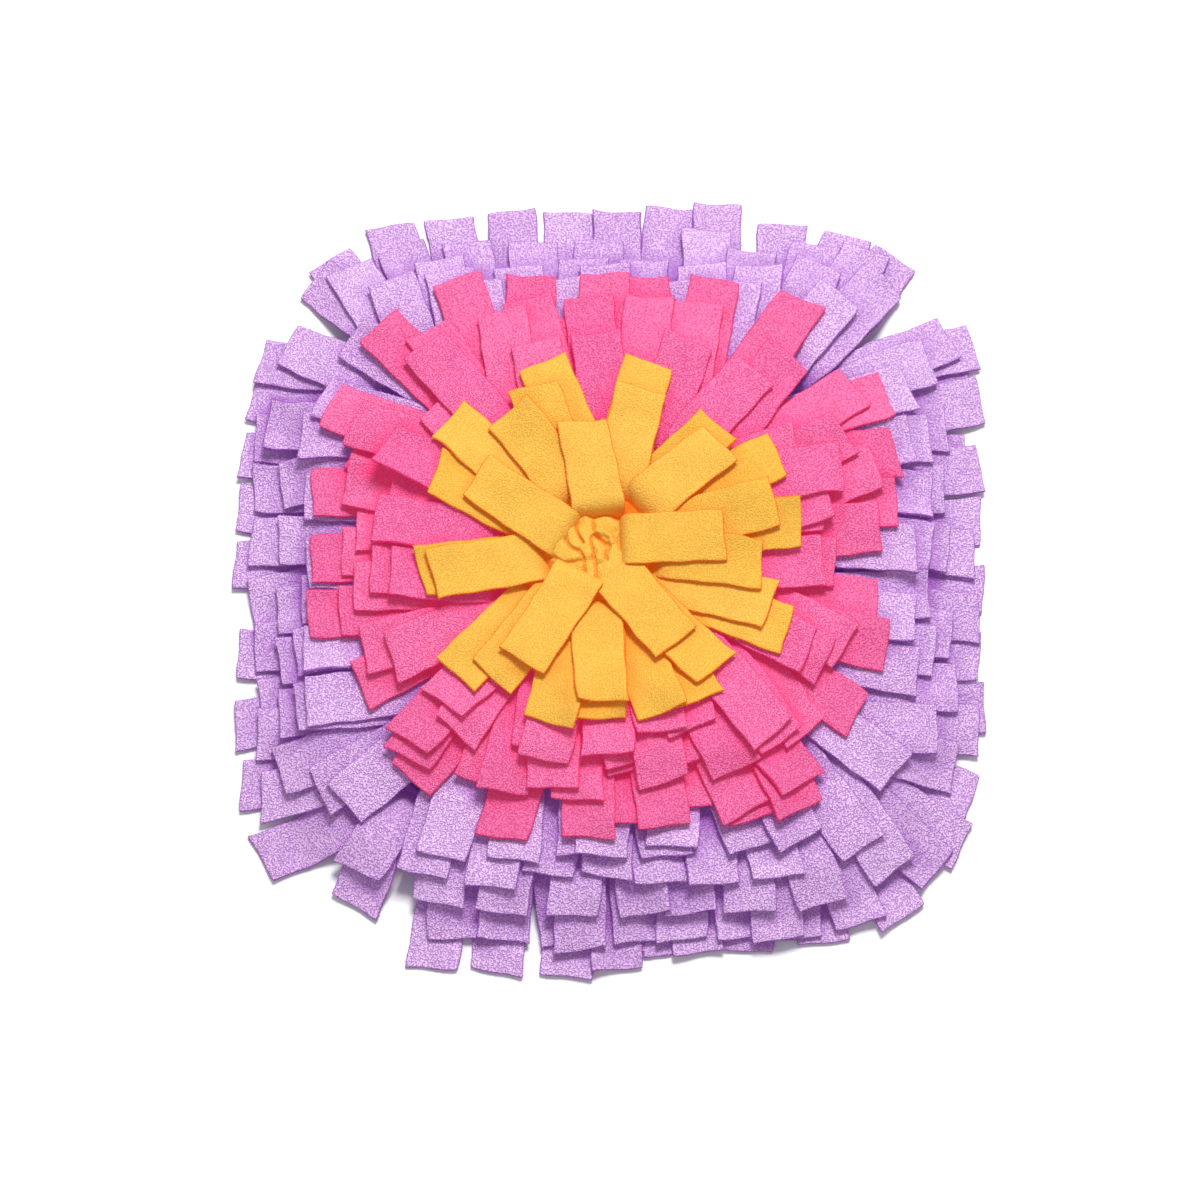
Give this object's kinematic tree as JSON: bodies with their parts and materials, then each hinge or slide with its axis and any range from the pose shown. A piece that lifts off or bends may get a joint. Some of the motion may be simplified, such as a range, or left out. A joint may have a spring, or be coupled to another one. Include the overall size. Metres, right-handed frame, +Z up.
{
  "type": "snuffle mat",
  "caption": "Square fleece foraging mat for pets: cut strips in lilac, pink and yellow fall outwards over a flat backing, like a flower.",
  "frame": {"origin": "bottom centre of the mat's box, on the surface the mat lies on", "axes": "+Z up from the surface, +X towards the mat's right side, +Y towards its far side"},
  "size_m": [0.3996, 0.423, 0.0559],
  "materials": {
    "backing_felt": "plain felted cloth",
    "lilac_fleece": "napped fleece",
    "pink_fleece": "napped fleece",
    "yellow_fleece": "napped fleece"
  },
  "bodies": {
    "root": {"backing_mat": "backing_felt", "purple_row_1": "lilac_fleece", "purple_row_2": "lilac_fleece", "purple_row_3": "lilac_fleece", "purple_row_4": "lilac_fleece", "purple_row_5": "lilac_fleece", "pink_row_1": "pink_fleece", "pink_row_2": "pink_fleece", "pink_row_3": "pink_fleece", "yellow_row_1": "yellow_fleece", "yellow_row_2": "yellow_fleece", "yellow_row_3": "yellow_fleece", "centre_knot": "yellow_fleece"}
  },
  "joints": []
}
